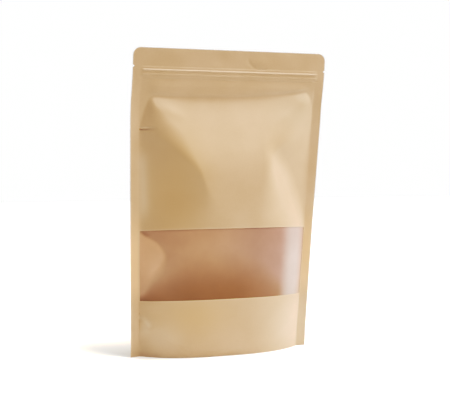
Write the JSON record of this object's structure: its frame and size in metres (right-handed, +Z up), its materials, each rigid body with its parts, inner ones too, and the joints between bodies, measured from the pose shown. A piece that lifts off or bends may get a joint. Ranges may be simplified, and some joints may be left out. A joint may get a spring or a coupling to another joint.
{
  "type": "kraft window bag",
  "caption": "Stand-up kraft paper pouch, zipped shut and puffed with air, with a frosted window band, side seals, tear notches and a folded base gusset.",
  "frame": {"origin": "on the floor, under the middle of the pouch's box", "axes": "+Z up to the header, -Y towards the side with the window, +X to the right as the window is faced"},
  "size_m": [0.2019, 0.0488, 0.3],
  "materials": {
    "kraft_paper": "uncoated brown kraft paper, matte, with fine fibres",
    "frosted_film": "frosted see-through film over a brown inside"
  },
  "bodies": {
    "root": {"kraft_pouch": "kraft_paper", "window_film": "frosted_film", "bottom_gusset": "kraft_paper"}
  },
  "joints": []
}
